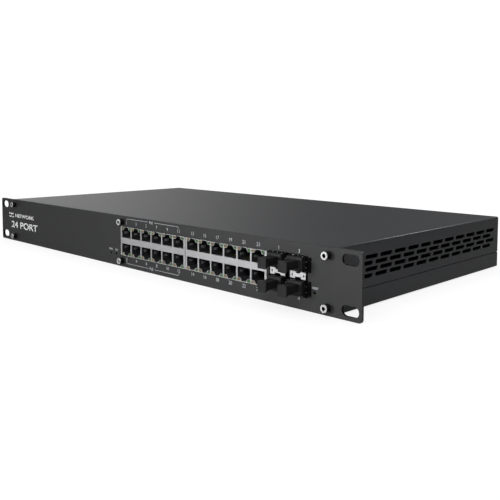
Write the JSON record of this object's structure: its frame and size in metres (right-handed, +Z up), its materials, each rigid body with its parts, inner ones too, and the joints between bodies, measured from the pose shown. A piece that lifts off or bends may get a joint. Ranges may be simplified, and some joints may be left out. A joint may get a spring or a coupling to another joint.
{
  "type": "rackmount network switch",
  "caption": "One-unit rackmount network switch with a flat slotted front panel, ganged copper jacks, capped optical cages and side air slots.",
  "frame": {"origin": "centre of the four rack slots, on the rear (mating) face of the front panel", "axes": "+X right as seen from the front, +Y into the case, +Z up"},
  "size_m": [0.4826, 0.2477, 0.044],
  "materials": {
    "black_powder_coat": "satin, fine-textured powder coat",
    "black_oxide_steel": "satin black oxide",
    "zinc_steel": "bright zinc plate",
    "tinned_steel": "tin plate, soft satin",
    "black_nylon": "matte moulded plastic",
    "grey_nylon": "matte moulded plastic",
    "gold_contact": "bright gold flash",
    "green_lens": "clear moulded light pipe",
    "amber_lens": "clear moulded light pipe",
    "smoked_lens": "smoked moulded light pipe",
    "black_finger_stock": "blackened spring steel",
    "black_rubber": "matte, slightly soft",
    "circuit_board": "green solder mask",
    "chip_epoxy": "moulded epoxy",
    "black_anodised": "black anodised",
    "capacitor_can": "sleeved can",
    "transformer_tape": "polyester tape over ferrite",
    "insulator_film": "polyester film",
    "nickel_pin": "bright nickel",
    "lead_sleeve": "PVC sleeve",
    "white_ink": "screen-printed ink"
  },
  "bodies": {
    "case": {"front_panel": "black_powder_coat", "chassis_tray": "black_powder_coat", "top_cover": "black_powder_coat", "panel_screws": "black_oxide_steel", "cover_screws": "black_oxide_steel", "inlet_screws": "black_oxide_steel", "ground_screw": "zinc_steel", "rj45_shield_left": "tinned_steel", "rj45_shield_right": "tinned_steel", "rj45_housing_left": "black_nylon", "rj45_housing_right": "black_nylon", "rj45_contacts_left": "gold_contact", "rj45_contacts_right": "gold_contact", "rj45_green_lamps": "green_lens", "rj45_amber_lamps": "amber_lens", "rj45_ground_tabs": "tinned_steel", "sfp_cage_left": "tinned_steel", "sfp_cage_right": "tinned_steel", "sfp_gasket_left": "black_finger_stock", "sfp_gasket_right": "black_finger_stock", "sfp_divider_left": "tinned_steel", "sfp_divider_right": "tinned_steel", "sfp_light_pipes": "smoked_lens", "status_lamps": "smoked_lens", "reset_switch": "black_nylon", "main_board": "circuit_board", "board_standoffs": "zinc_steel", "board_screws": "zinc_steel", "switch_chip": "chip_epoxy", "switch_heatsink": "black_anodised", "poe_controllers": "chip_epoxy", "line_filters": "chip_epoxy", "board_capacitors": "capacitor_can", "supply_board": "circuit_board", "supply_standoffs": "zinc_steel", "supply_screws": "zinc_steel", "supply_transformer": "transformer_tape", "supply_capacitors": "capacitor_can", "supply_heatsink": "black_anodised", "supply_insulator": "insulator_film", "fan_front_frame": "black_nylon", "fan_rear_frame": "black_nylon", "fan_bracket": "zinc_steel", "fan_screws": "black_oxide_steel", "mains_inlet": "black_nylon", "inlet_pins": "nickel_pin", "mains_leads": "lead_sleeve", "supply_leads": "lead_sleeve"},
    "plug_1": {"dust_plug_1": "black_rubber"},
    "plug_2": {"dust_plug_2": "black_rubber"},
    "plug_3": {"dust_plug_3": "black_rubber"},
    "plug_4": {"dust_plug_4": "black_rubber"},
    "reset": {"reset_plunger": "grey_nylon"},
    "rotor_front": {"fan_front_rotor": "black_nylon"},
    "rotor_rear": {"fan_rear_rotor": "black_nylon"}
  },
  "joints": [
    {"name": "plug_1_pull", "type": "slide", "parent": "case", "child": "plug_1", "axis": [0, -1, 0], "range_m": [0, 0.03]},
    {"name": "plug_2_pull", "type": "slide", "parent": "case", "child": "plug_2", "axis": [0, -1, 0], "range_m": [0, 0.03]},
    {"name": "plug_3_pull", "type": "slide", "parent": "case", "child": "plug_3", "axis": [0, -1, 0], "range_m": [0, 0.03]},
    {"name": "plug_4_pull", "type": "slide", "parent": "case", "child": "plug_4", "axis": [0, -1, 0], "range_m": [0, 0.03]},
    {"name": "reset_press", "type": "slide", "parent": "case", "child": "reset", "axis": [0, 1, 0], "range_m": [0, 0.0003], "stiffness_N_per_m": 1500},
    {"name": "fan_front_spin", "type": "hinge", "parent": "case", "child": "rotor_front", "pos_m": [-0.206, 0.062, 0.0003], "axis": [1, 0, 0], "continuous": true},
    {"name": "fan_rear_spin", "type": "hinge", "parent": "case", "child": "rotor_rear", "pos_m": [-0.206, 0.162, 0.0003], "axis": [1, 0, 0], "continuous": true}
  ]
}
